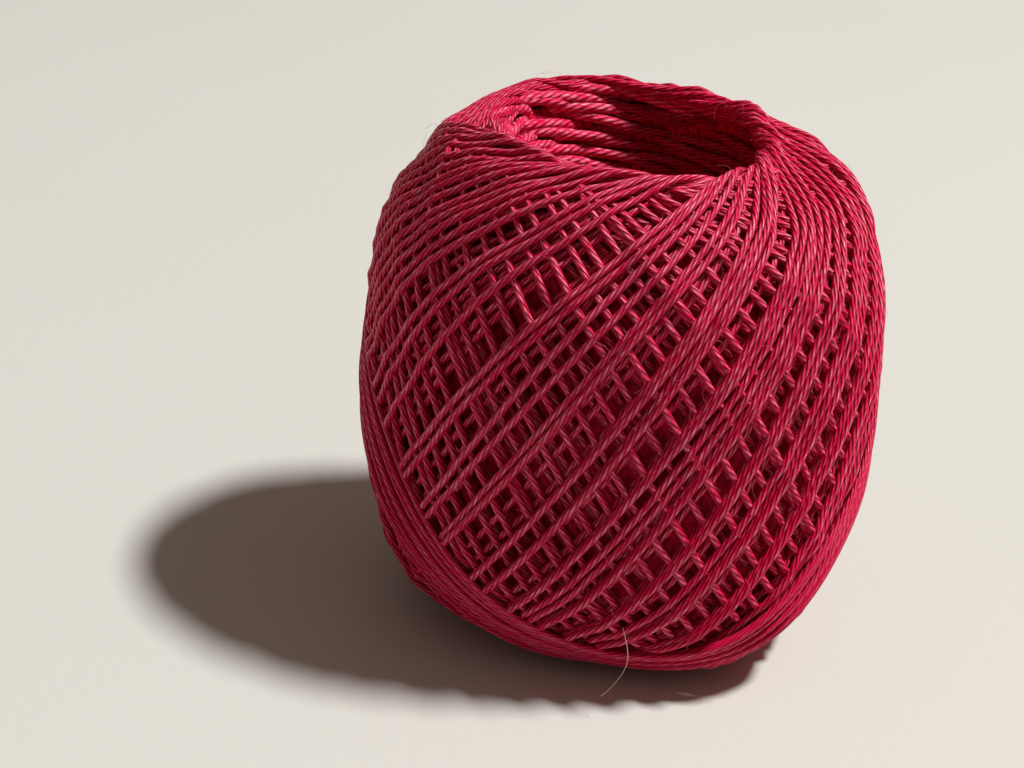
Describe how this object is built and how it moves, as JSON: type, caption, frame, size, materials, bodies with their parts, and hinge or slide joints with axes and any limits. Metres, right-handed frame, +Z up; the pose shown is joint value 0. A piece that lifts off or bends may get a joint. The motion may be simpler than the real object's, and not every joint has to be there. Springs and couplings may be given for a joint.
{
  "type": "ball of sashiko thread",
  "caption": "Cross-wound ball of plied crimson cotton thread with a funnel-ended hole through its middle, standing on its lower rim.",
  "frame": {"origin": "on the surface that the ball stands on, under its middle", "axes": "+Z up along the hole, -Y towards the side that the picture shows"},
  "size_m": [0.0446, 0.044, 0.043],
  "materials": {
    "thread": "plied mercerised cotton with a soft lustre"
  },
  "bodies": {
    "root": {"thread_ball": "thread"}
  },
  "joints": []
}
